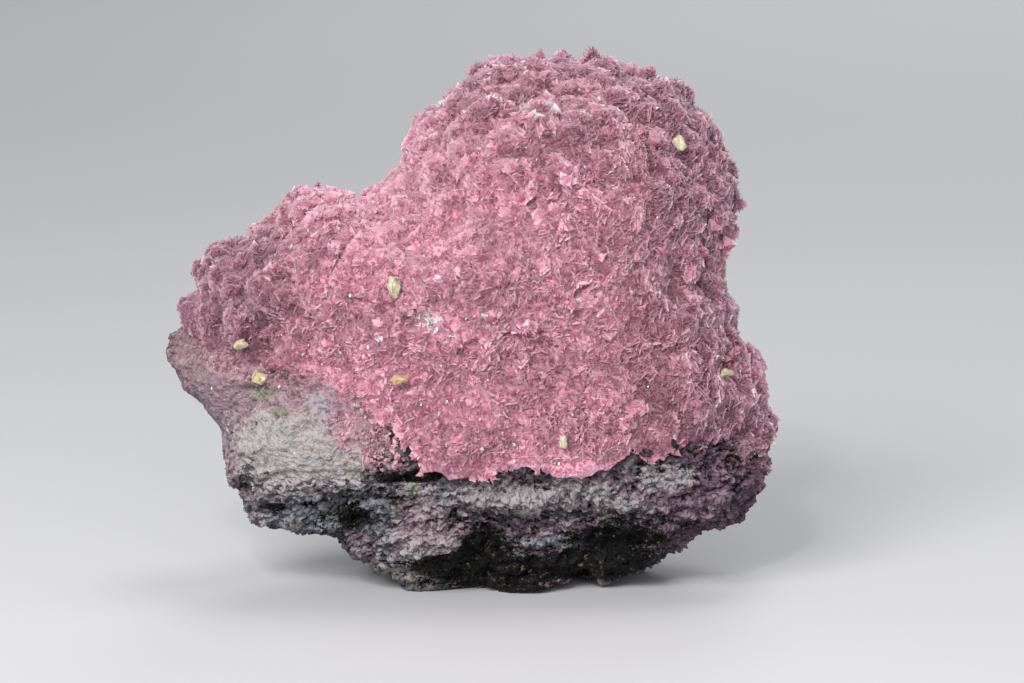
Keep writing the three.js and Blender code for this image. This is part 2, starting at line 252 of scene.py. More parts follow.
# A Geometry Nodes tree with its own inputs after the geometry
class Shaper(Graph):
    def __init__(self, name, inputs):
        super().__init__(bpy.data.node_groups.new(name, "GeometryNodeTree"))
        sockets = self.tree.interface
        sockets.new_socket("Geometry", in_out="INPUT", socket_type="NodeSocketGeometry")
        sockets.new_socket("Geometry", in_out="OUTPUT", socket_type="NodeSocketGeometry")
        for label, value in inputs.items():
            kind = "NodeSocketInt" if isinstance(value, int) else "NodeSocketFloat"
            sockets.new_socket(label, in_out="INPUT", socket_type=kind).default_value = value
        self.source = self.tree.nodes.new("NodeGroupInput")

    def given(self, name):
        return Field(self, self.source.outputs[name])

    def position(self):
        return self.node("GeometryNodeInputPosition")

    def normal(self):
        return self.node("GeometryNodeInputNormal")

    def chance(self, low, high, seed):
        values = {2: low, 3: high, "Seed": seed}
        return self.node("FunctionNodeRandomValue", {"data_type": "FLOAT"}, values, 1)

    def kept(self, geometry, name, value, domain="POINT"):
        values = {"Geometry": geometry, "Name": name, "Value": value}
        settings = {"data_type": "FLOAT", "domain": domain}
        return self.node("GeometryNodeStoreNamedAttribute", settings, values)

    def named(self, name):
        return self.node("GeometryNodeInputNamedAttribute", {"data_type": "FLOAT"}, {"Name": name})

    def pushed(self, geometry, direction, height, straight=None):
        offset = self.scaled(direction, height * mm)
        if straight:
            offset = self.vector("ADD", offset, straight)
        return self.node("GeometryNodeSetPosition", None, {"Geometry": geometry, "Offset": offset})

    # 1 where the surface looks away from the specimen's heart, 0 where it looks in
    def outward(self):
        away = self.vector("SUBTRACT", self.position(), toWorld(facePlane["heart"]))
        away = self.node("ShaderNodeVectorMath", {"operation": "NORMALIZE"}, {0: away})
        values = {0: away, 1: self.normal()}
        facing = self.node("ShaderNodeVectorMath", {"operation": "DOT_PRODUCT"}, values, 1)
        return facing.between(-0.1, 0.3)


def newObject(name, corners, faces):
    mesh = bpy.data.meshes.new(name)
    mesh.from_pydata(corners, [], faces)
    made = bpy.data.objects.new(name, mesh)
    scene.collection.objects.link(made)
    return made


def copyOfNode(node, name):
    made = frame["nodes"][node].copy()
    made.data = made.data.copy()
    made.name = name
    made.parent = None
    made.matrix_world = Matrix.Identity(4)
    made.data.materials.clear()
    scene.collection.objects.link(made)
    weld = made.modifiers.new("weld", "WELD")
    weld.merge_threshold = 0.01 * mm
    return made


def addRemesh(made, voxel, calm):
    remesh = made.modifiers.new("remesh", "REMESH")
    remesh.mode = "VOXEL"
    remesh.voxel_size = voxel * mm
    smooth = made.modifiers.new("smooth", "SMOOTH")
    smooth.iterations = calm


# Gives the object the mesh that its modifiers make
def applyAll(made):
    graph = bpy.context.evaluated_depsgraph_get()
    evaluated = made.evaluated_get(graph)
    mesh = bpy.data.meshes.new_from_object(evaluated, preserve_all_data_layers=True, depsgraph=graph)
    made.modifiers.clear()
    made.data = mesh
    mesh.name = made.name


# Keeps the largest of the shells that a mesh falls into, without the flaps that stick out of it
def dropScraps(made):
    mesh = bmesh.new()
    mesh.from_mesh(made.data)
    left = set(mesh.verts)
    shells = []
    for start in mesh.verts:
        if start not in left:
            continue
        left.remove(start)
        shell, reached = [], [start]
        while reached:
            corner = reached.pop()
            shell.append(corner)
            for edge in corner.link_edges:
                other = edge.other_vert(corner)
                if other in left:
                    left.remove(other)
                    reached.append(other)
        shells.append(shell)
    shells.sort(key=len)
    scraps = [corner for shell in shells[:-1] for corner in shell]
    bmesh.ops.delete(mesh, geom=scraps, context="VERTS")
    flaps = [face for face in mesh.faces if any(edge.is_boundary for edge in face.edges)]
    bmesh.ops.delete(mesh, geom=flaps, context="FACES")
    mesh.to_mesh(made.data)
    mesh.free()


def runShaper(made, shaper, values):
    modifier = made.modifiers.new("shaper", "NODES")
    modifier.node_group = shaper.tree
    for item in shaper.tree.interface.items_tree:
        if item.in_out == "INPUT" and item.name in values:
            modifier[item.identifier] = values[item.name]
    applyAll(made)


def finishPiece(made, slot, *nodes):
    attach(made, "root")
    if nodes:
        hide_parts(*nodes)
    triangles = sum(len(face.vertices) - 2 for face in made.data.polygons)
    print(f"{made.name}: {triangles} triangles")


cameraSetup = {
    "aim": (7.6, 0, 51.0),      # on the face plane
    "distance": 900,            # mm from the aim
    "frameWidth": 206.8,        # mm across the view, at the aim
    "sensor": 36,
}


def makeCamera():
    setup = cameraSetup
    data = bpy.data.cameras.new("camera")
    data.sensor_width = setup["sensor"]
    data.lens = setup["sensor"] * setup["distance"] / setup["frameWidth"]
    data.clip_start = 0.01
    camera = bpy.data.objects.new("camera", data)
    scene.collection.objects.link(camera)
    camera.location = toWorld(Vector(setup["aim"]) - Vector((0, setup["distance"], 0)))
    camera.rotation_euler = (math.pi / 2 - facePlane["lean"], 0, 0)
    scene.camera = camera


lights = {
    "key": {"at": (-0.4, -0.8, 0.58), "size": 0.6, "power": 9.4, "colour": (1.0, 0.985, 0.97)},
    "fill": {"at": (0.1, -1.0, 0.3), "size": 0.9, "power": 5.0, "colour": (0.96, 0.97, 1.0)},
    "top": {"at": (0.15, 0.15, 0.9), "size": 0.4, "power": 1.6, "colour": (1.0, 1.0, 1.0)},
    "sparkle": {"at": (-0.12, -0.75, 0.55), "size": 0.06, "power": 1.2, "colour": (1.0, 1.0, 1.0)},
    "back": {"at": (0.35, 1.7, 0.95), "size": 0.9, "power": 7.5, "colour": (1.0, 0.99, 0.98)},
}
studio = {"floor": paint(206, 206, 208), "air": (0.92, 0.95, 1.0), "airStrength": 0.34}


def makeLights():
    target = toWorld((0, 0, 50))
    for name, setup in lights.items():
        data = bpy.data.lights.new(name, "AREA")
        data.shape = "DISK"
        data.size = setup["size"]
        data.energy = setup["power"]
        data.color = setup["colour"]
        light = bpy.data.objects.new(name, data)
        light.location = setup["at"]
        light.rotation_euler = (target - Vector(setup["at"])).to_track_quat("-Z", "Y").to_euler()
        scene.collection.objects.link(light)
    world = bpy.data.worlds.new("studio")
    world.use_nodes = True
    background = world.node_tree.nodes["Background"]
    background.inputs["Color"].default_value = (*studio["air"], 1)
    background.inputs["Strength"].default_value = studio["airStrength"]
    scene.world = world
    scene.view_settings.view_transform = "Standard"


def makeFloor():
    reach = 3.0
    corners = [(-reach, -reach, 0), (reach, -reach, 0), (reach, reach, 0), (-reach, reach, 0)]
    floor = newObject("floor", corners, [(0, 1, 2, 3)])
    floor.data.materials.append(makeMaterial("paleFloor", plainSurface(studio["floor"], 0.8)))


# The rock is foliated: ragged leaves in layers that rise a little to the right. Each kind of form is given
# by the thickness of its layers, its length along them and the size of its bends, in millimetres.
foliation = {
    "rise": 0.12,
    "warp": 7.0,                # mm that the layers bend up and down
    "layer": (3.3, 9, 22),
    "leaf": (1.05, 3.2, 9),
    "shelf": (1.8, 6, 12),
    "crest": (2.2, 5.5, 15),
    "ripple": (0.85, 1.9, 7),
    "block": (2.2, 4.5, 6),
    "chip": (0.8, 1.7, 6),
    "fleck": (0.9, 1.8, 7),
    "streak": (0.5, 1.5, 5),
}


# A place in the rock with its height counted in layers
def layerPlace(graph, place, kind):
    thickness, length, bend = foliation[kind]
    x, y, z = graph.split(place)
    warp = (graph.noise(place, bend, 2.0) - 0.5) * foliation["warp"]
    level = (z - x * foliation["rise"] + warp) / thickness
    return x / length, y / length, level


# Noise drawn out along the layers, from about -0.5 to 0.5
def layerNoise(graph, place, kind, detail, roughness):
    return graph.noise(graph.joined(*layerPlace(graph, place, kind)), 1.0, detail, roughness) - 0.5


# Steps between layers that each stick out by a chance amount, from -1 to 1
def ledges(graph, place, kind):
    x, y, level = layerPlace(graph, place, kind)
    whole = level.math("FLOOR")
    share = (level - whole).between(0.86, 1.0)
    apart = 7.31                # so that two layers have nothing in common
    lower = graph.noise(graph.joined(x, y, whole * apart), 1.0, 3.0, 0.55)
    upper = graph.noise(graph.joined(x, y, whole * apart + apart), 1.0, 3.0, 0.55)
    return ((lower + (upper - lower) * share - 0.5) * 5).atLeast(-1).atMost(1)


# Flat chips that lie along the layers, each with its own chance value from 0 to 1
def chips(graph, place, kind):
    x, y, level = layerPlace(graph, place, kind)
    bent = (graph.noise(place, foliation[kind][1] * 0.4, 3.0, 0.6) - 0.5) * 1.4
    values = {"Vector": graph.joined(x + bent, y, level - bent * 0.4), "Scale": 1.0}
    return graph.split(graph.node("ShaderNodeTexVoronoi", {"feature": "F1"}, values, 1))[0]


# Sharp crests along the layers, from 0 in the troughs to 1
def crests(graph, place, kind):
    wave = layerNoise(graph, place, kind, 3.0, 0.55)
    return (1 - wave.math("ABSOLUTE") * 5).atLeast(0)


# Along these lines on the face the crust has no lip: it thins out over the rock.
thinRims = [
    {"line": [(-61, 58), (-54.5, 47), (-46.5, 43), (-35, 40), (-26, 37.5), (-21, 33), (-16.5, 28)],
     "from": (-14, -19)},
    {"line": [(49, 32), (54.5, 31), (62.5, 26)], "from": (48.5, 52)},
]


def nearLine(graph, place, line, reach):
    nearest = 99
    for start, end in zip(line, line[1:]):
        nearest = graph.beside(place, start, end).atMost(nearest)
    return nearest.between(reach, 0.5)


# 1 on the thin rims, fading to 0 at their reach in millimetres on both sides
def nearThinRim(graph, place, reach):
    x, y, _ = graph.split(place)
    near = 0
    for rim in thinRims:
        near = (nearLine(graph, place, rim["line"], reach) * x.between(*rim["from"])).atLeast(near)
    return near * y.between(8, -2)


# 1 beyond the ends of the lip, where the rims are thin
def beyondLip(x):
    return x.between(-12, -20).atLeast(x.between(49, 53))


rock = {
    "voxel": 0.35,              # mm
    "calm": 4,                  # steps that smooth the mesh
    "ledge": 0.9,               # how far each kind of form stands out
    "leaf": 0.5,
    "crest": 0.6,
    "ripple": 0.55,
    "chip": 0.5,
    "lump": 0.7,
    "grain": 0.3,
    "evenOut": 90,              # steps that smooth the slope at the left
    "flush": 0.9,               # how far the rock rises to meet the thin rims
    "underLip": 0.7,            # and how far just below the lip
    "covered": 0.9,             # mm from the crust's solid within which the rock is hidden
    "turned": -0.15,            # faces that look forward less than this are behind
    "hidden": 0.05,             # share of the triangles that stay where the crust covers the rock
    "behind": 0.3,              # at the back
    "front": 0.69,
}
rockZones = {                   # ovals on the face: place and reach
    "slope": ((-56, 38), (9, 13)),
    "band": ((14, 21), (13, 4.5)),
    "tip": ((-60, 50), (6, 11)),
    "rosy": ((52, 24), (16, 16)),
    "massive": ((-34, 33), (16, 11)),
    "massiveTip": ((-52, 44), (10, 14)),
}
rockHills = [                   # place, reach and height, which is below zero in a pit
    ((-25, 15.5), (3.4, 2.6), -3.0),
    ((30, 11.5), (12, 2.6), -2.2),
    ((3, 10), (4.5, 4.5), -1.8),
    ((34, 19), (13, 2.6), 1.3),
    ((5, 20), (10, 2.2), 1.1),
    ((-9, 13), (6, 3.5), 0.9),
]


# The pale rock at the left is less foliated than the rest.
def massiveRock(graph, place):
    patch = graph.oval(place, *rockZones["massive"])
    return patch.atLeast(graph.oval(place, *rockZones["massiveTip"])).between(0.2, 0.6)


# How far the rock's own forms stand out, in millimetres
def rockRelief(shaper, place):
    layered = 1 - massiveRock(shaper, place) * 0.8
    facing = shaper.split(shaper.normal())[1].math("ABSOLUTE").between(0.15, 0.55) * 0.6 + 0.4
    relief = ledges(shaper, place, "layer") * shaper.given("ledge") * layered
    relief = relief + ledges(shaper, place, "leaf") * shaper.given("leaf") * layered
    relief = relief + ledges(shaper, place, "shelf") * shaper.oval(place, *rockZones["band"]) * 1.3
    crest = crests(shaper, place, "crest") - 0.55
    ripple = crests(shaper, place, "ripple") - 0.55
    relief = relief + (crest * shaper.given("crest") + ripple * shaper.given("ripple")) * layered * facing
    block = (chips(shaper, place, "block") - 0.5) * 1.4 * layered * facing
    chip = (chips(shaper, place, "chip") - 0.5) * (layered * 1.6 + 0.5) * facing
    relief = relief + (block + chip) * shaper.given("chip")
    black = 0
    for at, reach in blackPatches:
        black = shaper.oval(place, at, reach).between(0.25, 0.5).atLeast(black)
    facets = shaper.cells(place, 3.6, "F1") * 2.2 + shaper.cells(place, 1.6, "F1") * 0.9 - 1.4
    relief = relief * (1 - black * 0.45) + facets * black
    lumps = shaper.noise(place, 8, 3.0, 0.55) - 0.5
    grain = shaper.noise(place, 0.9, 4.0, 0.7) - 0.5
    relief = relief + lumps * shaper.given("lump") * 4 * layered
    relief = relief + grain * shaper.given("grain") * 5 * facing
    return relief + shaper.hills(place, rockHills) * shaper.split(place)[1].between(8, 0)


# Millimetres to the surface of a CAD node
def distanceTo(shaper, node):
    settings = {"transform_space": "RELATIVE"}
    solid = shaper.node("GeometryNodeObjectInfo", settings, {"Object": node}, "Geometry")
    values = {0: solid, "Sample Position": shaper.position()}
    return shaper.node("GeometryNodeProximity", {"target_element": "FACES"}, values, "Distance") / mm


def rockShaper(crustNode):
    names = ("ledge", "leaf", "crest", "ripple", "chip", "lump", "grain")
    shaper = Shaper("rockRelief", {name: rock[name] for name in names})
    place = shaper.onFacePlane(shaper.position())
    x, y, _ = shaper.split(place)
    backward, up = shaper.split(shaper.normal())[1:]
    aboveFoot = shaper.split(shaper.scaled(shaper.position(), 1 / mm))[2].between(0.2, 2.2)
    distance = distanceTo(shaper, crustNode)
    free = distance.between(0.2, 1.2)
    rim = nearThinRim(shaper, place, 8)
    atLip = 1 - beyondLip(x)
    rubble = shaper.noise(place, 2.2, 4.0, 0.65)
    relief = rockRelief(shaper, place)
    relief = relief + (rubble - 0.5) * 5 * distance.between(11, 7) * atLip * y.between(6, 0)
    height = relief * aboveFoot * free.atLeast(rim) - (1 - free) * (1 - rim) * 0.8
    flush = distance.between(14, 0.6).atMost(free.atLeast(rim)) * beyondLip(x) * y.between(6, -2)
    flush = flush * rock["flush"] * (rubble * 1.6 + 0.2)
    underLip = distance.between(6, 1.4) * atLip * y.between(14, 4) * rubble * 2
    flush = flush + underLip * rock["underLip"]
    flush = flush * backward.between(0.1, -0.5) * aboveFoot
    forward = shaper.scaled(worldDirection((0, -1, 0)), flush * mm)
    slope = shaper.oval(place, *rockZones["slope"]).between(0.25, 0.7)
    values = {"Value": shaper.position(), "Iterations": rock["evenOut"], "Weight": slope}
    even = shaper.node("GeometryNodeBlurAttribute", {"data_type": "FLOAT_VECTOR"}, values)
    forward = shaper.vector("ADD", forward, shaper.vector("SUBTRACT", even, shaper.position()))
    kept = shaper.kept(shaper.given("Geometry"), "relief", relief)
    kept = shaper.kept(kept, "crustDistance", distance)
    pushed = shaper.pushed(kept, shaper.normal(), height, forward)
    pushed = shaper.kept(pushed, "ahead", backward * -1)
    shaper.finish(shaper.kept(pushed, "up", up))
    return shaper


def makeRock():
    made = copyOfNode("rhodonite_matrix", "foliated_rock")
    addRemesh(made, rock["voxel"], rock["calm"])
    applyAll(made)
    runShaper(made, rockShaper(frame["nodes"]["rhodonite_crust"]), {})
    thinRock(made)
    dropScraps(made)
    made.data.materials.append(makeMaterial("foliatedRock", rockSurface))
    finishPiece(made, "grey_rock", "rhodonite_matrix")
    return made


def valuesOf(made, name):
    values = [0.0] * len(made.data.vertices)
    made.data.attributes[name].data.foreach_get("value", values)
    return values


# Leaves fewer triangles at the back, and fewest of all where the rock lies under the crust
def thinRock(made):
    kinds = {"hidden": [], "behind": [], "front": []}
    pairs = zip(valuesOf(made, "crustDistance"), valuesOf(made, "ahead"))
    for corner, (distance, ahead) in enumerate(pairs):
        side = "front" if ahead > rock["turned"] else "behind"
        kinds["hidden" if distance < rock["covered"] else side].append(corner)
    left = len(made.data.vertices)
    for name, corners in kinds.items():
        group = made.vertex_groups.new(name=name)
        group.add(corners, 1.0, "REPLACE")
        thin = made.modifiers.new(name, "DECIMATE")
        thin.vertex_group = name
        lost = len(corners) * (1 - rock[name])
        thin.ratio = 1 - lost / left
        left -= lost
    applyAll(made)
    made.vertex_groups.clear()


rockPaint = {
    "grey": paint(100, 95, 100),
    "pale": paint(172, 166, 167),
    "cream": paint(178, 170, 169),
    "pink": paint(122, 103, 111),
    "blush": paint(156, 132, 141),
    "mauve": paint(100, 78, 95),
    "blue": paint(130, 135, 144),
    "black": paint(3, 3, 4),
    "facetSheen": paint(20, 19, 20),
    "fleck": paint(150, 142, 108),
    "crackAndShade": paint(6, 5, 7),
    "ochre": paint(148, 132, 84),
    "rose": paint(172, 132, 142),
    "green": paint(134, 138, 112),
    "milk": paint(162, 152, 160),
    "slate": paint(60, 66, 74),
    "recessShade": paint(62, 53, 63),
    "tip": paint(144, 116, 120),
}
rockPatches = [                 # colour, place and reach
    ("blush", (-50, 40), (9, 12)),
    ("cream", (-33, 30), (17, 9)),
    ("blush", (-51, 25), (4, 6)),
    ("blue", (-30, 17), (15, 4)),
    ("slate", (-18.5, 15), (4, 3.4)),
    ("blush", (-8.5, 14), (7, 4)),
    ("mauve", (48, 22), (13, 10)),
    ("pale", (7, 20.5), (11, 2.6)),
    ("pale", (-11, 21.9), (4, 1.8)),
    ("pale", (25, 20.5), (4, 2)),
    # recessShade: dark violet bands of painted shade in the recesses between the ledges
    ("recessShade", (30, 15.6), (8, 2.2)),
    ("recessShade", (17, 16.4), (9, 1.1)),
    ("recessShade", (-25, 21.2), (8, 1.2)),
    ("recessShade", (-40, 18.2), (4.5, 1.3)),
    ("pale", (38, 24), (6, 3)),
    ("mauve", (16, 14), (10, 3)),
    ("blue", (16, 11), (6, 1.2)),
    ("pale", (-14, 6), (6, 3.4)),
]
mineralPatches = [
    ("milk", (-30, 39.5), (4, 3)),
    ("green", (-42.3, 41), (2.6, 2)),
    ("green", (-38.3, 37.2), (2, 1)),
    ("green", (-12, 21.9), (2, 0.9)),
]
blackPatches = [                # place and reach
    ((1.5, 9.6), (6, 4.4)),
    ((-6.5, 6.4), (7, 2.3)),
    ((5, 5), (16, 4)),
    ((22, 6), (15, 3.6)),
    ((28, 11.5), (9, 2.8)),
    ((30, 7.5), (8, 3)),
    ((9, 0), (10, 2.6)),
    ((-11, 24.3), (4.5, 1.6)),
    ((-16, 24), (3.6, 1.1)),
    ((-24.4, 15.4), (2.4, 2.3)),
    ((-39.5, 18), (3, 0.8)),
]
ochreStains = [((-13, 3.5), (7, 3), 0.12), ((-28, 27), (12, 6), 0.07)]


# An oval with a ragged edge
def patchShare(graph, place, at, reach, uneven, low=0.3, high=0.48):
    share = graph.oval(place, at, reach)
    return (share + uneven * share.between(0.0, 0.3)).between(low, high)


def withPatches(graph, colour, patches, place, uneven, amount):
    front = graph.split(place)[1].between(14, 2)
    for name, at, reach in patches:
        share = patchShare(graph, place, at, reach, uneven) * front
        colour = graph.mix(share * amount, colour, rockPaint[name])
    return colour


# Fields of noise that the rock's colours have in common
def rockMarks(graph, place):
    marks = {
        "blur": graph.noise(place, 4, 4.0, 0.65) - 0.5,
        "fine": graph.noise(place, 0.6, 4.0, 0.7),
        "speckle": graph.noise(place, 1.3, 5.0, 0.75) - 0.5,
        "fleck": layerNoise(graph, place, "fleck", 4.0, 0.7),
        "chip": chips(graph, place, "chip"),
    }
    marks["uneven"] = marks["blur"] * 0.8 + marks["speckle"] * 0.6 + (marks["chip"] - 0.5) * 0.4
    return marks


# The rock's own colours, from zone to zone
def rockGround(graph, place, marks):
    x = graph.split(place)[0]
    general = graph.noise(place, 9, 4.0, 0.65).between(0.4, 0.6)
    colour = graph.mix(general, rockPaint["grey"], rockPaint["pink"])
    colour = withPatches(graph, colour, rockPatches, place, marks["uneven"], 0.9)
    near = attribute(graph, "crustDistance") + marks["speckle"] * 14 + marks["blur"] * 14
    near = near.between(9, 1) * beyondLip(x)
    colour = graph.mix(near * 0.8, colour, rockPaint["rose"])
    colour = withPatches(graph, colour, mineralPatches, place, marks["uneven"], 0.8)
    tip = graph.oval(place, *rockZones["tip"]).between(0.2, 0.6)
    return graph.mix(tip * 0.75, colour, rockPaint["tip"])


# Pale crests and grains, and dark cracks between them. Because the tone includes the relief, low parts of
# the rock also get the dark colour as painted shade.
def withGrain(graph, colour, place, marks, calm):
    rosy = graph.oval(place, *rockZones["rosy"]).between(0.05, 0.5)
    light = graph.mix(rosy, rockPaint["pale"], rockPaint["blush"])
    crackAndShade = rockPaint["crackAndShade"]
    streak = layerNoise(graph, place, "streak", 3.0, 0.65)
    tone = attribute(graph, "relief") * 0.6 + marks["fleck"] * 2.6
    tone = tone + (marks["chip"] - 0.5) * 0.9 + streak * 3
    speckle, fine = marks["speckle"], marks["fine"]
    touches = [
        (tone.between(0.3, 1.4) * 0.8, light),
        (tone.between(0.1, -0.85) * calm, crackAndShade),
        (speckle.between(0.02, 0.16) * 0.5, light),
        (speckle.between(-0.02, -0.16) * 0.85 * calm, crackAndShade),
        (fine.between(0.52, 0.72) * 0.4, light),
        (fine.between(0.47, 0.27) * 0.6 * calm, crackAndShade),
    ]
    for share, touch in touches:
        colour = graph.mix(share, colour, touch)
    return colour


# Share of the black mineral, and its colour
def blackMineral(graph, place, marks):
    black = 0
    ragged = marks["uneven"] * 0.8 + marks["fleck"] * 0.5
    for at, reach in blackPatches:
        black = patchShare(graph, place, at, reach, ragged, 0.36, 0.44).atLeast(black)
    # Painted sheen: some chips of the black mineral are a lighter grey, as if they caught the light.
    shiny = marks["chip"].between(0.4, 1.0) * (marks["fine"] * 1.4 - 0.1)
    sheenedBlack = graph.mix(shiny, rockPaint["black"], rockPaint["facetSheen"])
    sparse = (marks["speckle"] + marks["fleck"]).between(0.15, 0.22) * 0.5
    return black, graph.mix(sparse, sheenedBlack, rockPaint["fleck"])


def rockSurface(graph):
    place = shaderPlace(graph)
    x, y, _ = graph.split(place)
    front = y.between(14, 2)
    marks = rockMarks(graph, place)
    calm = 1 - massiveRock(graph, place) * 0.6
    colour = withGrain(graph, rockGround(graph, place, marks), place, marks, calm)
    black, sheenedBlack = blackMineral(graph, place, marks)
    black = black * front
    colour = graph.mix(black * 0.97, colour, sheenedBlack)
    stain = (graph.noise(place, 2.0, 4.0, 0.75) + graph.hills(place, ochreStains)).between(0.64, 0.7)
    colour = graph.mix(stain * (1 - black * 0.5) * 0.55, colour, rockPaint["ochre"])
    # Painted shade: surfaces that look downwards get the cracks' dark colour, and so does a band just below
    # the lip as a painted shadow.
    under = attribute(graph, "up").between(0.15, -0.75)
    shade = attribute(graph, "crustDistance").between(2.9, 1.5) * (1 - beyondLip(x)) * front
    shade = (shade * (marks["fine"] * 1.2 + 0.2)).atLeast(under * 0.5 * calm)
    colour = graph.mix(shade, colour, rockPaint["crackAndShade"])
    bump = graph.bump(marks["fine"] + graph.noise(place, 0.35, 2.0, 0.6) * 0.5, 1.0, 0.4)
    return {"Base Color": colour, "Roughness": 0.85 - black * 0.48, "IOR": 1.22, "Normal": bump}


crust = {
    "voxel": 0.85,
    "calm": 16,
    "sink": 1.5,                # from the solid's skin down to the ground that the blades grow on
    "knob": 2.4,                # height of the rosettes' mounds
    "knobSize": 5.2,
    "knot": 1.0,                # and of the smaller ones on them
    "knotSize": 2.3,
}
crustLip = {
    "line": [(-13, 26.5), (1, 26.5), (9, 27.5), (17.5, 26), (25.5, 26.5), (33.5, 29), (43.5, 31.5),
             (48, 34)],
    "reach": 2.2,
    "full": 0.6,                # share of the sink that the lip is spared
    "thin": 2.4,                # mm that the crust lies further back on the thin rims
    "hang": 2.6,                # mm that the lip reaches down, on average
    "bare": 0.3,                # how much less its underside may look down to have blades
    "further": [                # place, reach and how much further it reaches down there
        ((43, 33.5), (4.2, 7), 3.2),
        ((33, 29), (2.4, 3), 2.6),
        ((-2, 27), (5, 3), 0.8),
    ],
}
crustGroove = [(-22.7, 74.5), (-27.5, 66), (-29, 60), (-33.2, 53.3)]
crustHollows = [                # place, reach and height
    ((22, 61), (2.6, 1.6), -1.8),
    ((47, 72), (3, 6), -1.4),
    ((38, 49.5), (10, 1.8), -1.6),
    ((12, 49), (9, 2.2), -1.4),
    ((53, 50), (2.4, 5), -1.2),
]


def crustShaper():
    shaper = Shaper("crustRelief", {"Sink": crust["sink"], "Knob": crust["knob"], "Knot": crust["knot"]})
    place = shaper.onFacePlane(shaper.position())
    x, y, _ = shaper.split(place)
    even = 0.42                 # about the mean height of the cells
    knobs = even - shaper.cells(place, crust["knobSize"])
    knots = even - shaper.cells(place, crust["knotSize"])
    rough = coarseness(shaper, place)
    height = knobs * shaper.given("Knob") * (rough * 1.1 + 0.5) + knots * shaper.given("Knot")
    for start, end in zip(crustGroove, crustGroove[1:]):
        aside = shaper.beside(place, start, end) + (shaper.noise(place, 2.5) - 0.5) * 1.6
        height = height - aside.between(1.0, 0.1) * 1.3
    height = shaper.hills(place, crustHollows, height)
    lip = nearLine(shaper, place, crustLip["line"], crustLip["reach"]) * (1 - beyondLip(x))
    rim = nearThinRim(shaper, place, 7)
    sink = shaper.given("Sink") * (1 - lip * crustLip["full"])
    height = (height * (1 - lip * 0.6) - sink) * shaper.outward() * (1 - rim)
    back = shaper.scaled(worldDirection((0, 1, 0)), rim * crustLip["thin"] * mm)
    tooth = shaper.noise(place, 4.5, 2.0, 0.5) * 0.9 + 0.55
    drop = nearLine(shaper, place, crustLip["line"], 5) * crustLip["hang"] * tooth * x.between(-15, -10)
    drop = shaper.hills(place, crustLip["further"], drop)
    drop = shaper.scaled(worldDirection((0, 0, -1)), drop * y.between(2, -6) * mm)
    kept = shaper.kept(shaper.given("Geometry"), "outward", shaper.outward())
    kept = shaper.kept(kept, "mound", height)
    kept = shaper.kept(kept, "thin", rim.atLeast(lip))
    shaper.finish(shaper.pushed(kept, shaper.normal(), height, shaper.vector("ADD", back, drop)))
    return shaper


# Where the crust is knobbly, with the larger blades: 0 on the even carpet, 1 at the rim and in patches
def coarseness(graph, place):
    x, _, z = graph.split(place)
    patch = graph.noise(place, 15, 2.0, 0.5).between(0.4, 0.62)
    side = x.between(30, 48).atLeast(z.between(84, 98)).atLeast(x.between(-36, -52))
    return patch.atLeast(side)


# Hue of the rhodonite: 0 is mauve, 1 is salmon. The mauve end is also darker; the shift towards it on the
# right side, the left lobe and the top is partly the real hue and partly painted shade on those sides.
def hueOf(graph, place):
    x, _, z = graph.split(place)
    blotch = graph.noise(place, 12, 3.0, 0.55)
    edge = x.between(20, 48) * 0.6 + x.between(-24, -52) * 0.85 + z.between(76, 104) * 0.45
    return (blotch * 1.3 + 0.02 - edge).atLeast(0).atMost(1)


rosePaint = [
    (0.0, paint(152, 105, 123)),
    (0.3, paint(195, 138, 157)),
    (0.65, paint(239, 184, 202)),
    (1.0, paint(247, 192, 207)),
]


def makeCrustGround():
    made = copyOfNode("rhodonite_crust", "rose_ground")
    addRemesh(made, crust["voxel"], crust["calm"])
    applyAll(made)
    runShaper(made, crustShaper(), {})
    dropScraps(made)
    made.data.materials.append(makeMaterial("roseGround", groundSurface))
    finishPiece(made, "pink_crust", "rhodonite_crust")
    return made


def groundSurface(graph):
    place = shaderPlace(graph)
    colour = graph.ramp(hueOf(graph, place), rosePaint)
    # Darker and more saturated than the blades: partly the crust's deeper colour and partly painted shade
    # of the gaps between the blades, a little greyer on the thin rims.
    share = graph.mix(attribute(graph, "thin"), (0.76, 0.62, 0.67), (0.76, 0.68, 0.74))
    colour = graph.mix(1, colour, share, "MULTIPLY")
    # Painted shade: the hollows of the ground, where the mound height is low, get a dark red.
    depthShade = attribute(graph, "mound").between(-1.4, -2.6)
    colour = graph.mix(depthShade * 0.7, colour, paint(110, 42, 56))
    bump = graph.bump(graph.noise(place, 0.8, 4.0, 0.7), 0.8, 0.3)
    return {"Base Color": colour, "Roughness": 0.55, "Normal": bump}


# Thin tabular crystals that stand on edge. Some grow side by side like the leaves of an open book, others
# cross each other in a tuft.
tufts = {
    "kinds": 12,
    "blades": (5, 7),
    "width": (0.7, 3.0),        # mm
    "thickness": (0.12, 0.22),
    "height": (0.7, 1.6),
    "spacing": 0.26,
    "spread": 12,               # degrees between the middle blade and the outer ones, at most
    "booked": (7, 14),          # lean and turn of a blade in a book, degrees, at most
    "crossed": (22, 180),       # and in a tuft of crossed ones
    "density": 2.3,             # tufts on a square millimetre of the face
    "tilt": 20,                 # degrees away from upright, at most
    "size": (0.65, 1.1),
    "edges": [-70.0, -30.0, -5.0, 16.0, 37.0, 70.0],    # where the carpet falls into pieces, mm
}
paleSpots = [                   # place, reach and the share of the blades that are whitish there
    ((-8.8, 55.3), (1.9, 1.6), 1.6),
    ((15, 96.5), (7, 4), 0.2),
    ((-7, 98), (4, 3), 0.2),
    ((3, 56), (6, 2.5), 0.16),
    ((22, 60), (4, 3), 0.2),
]


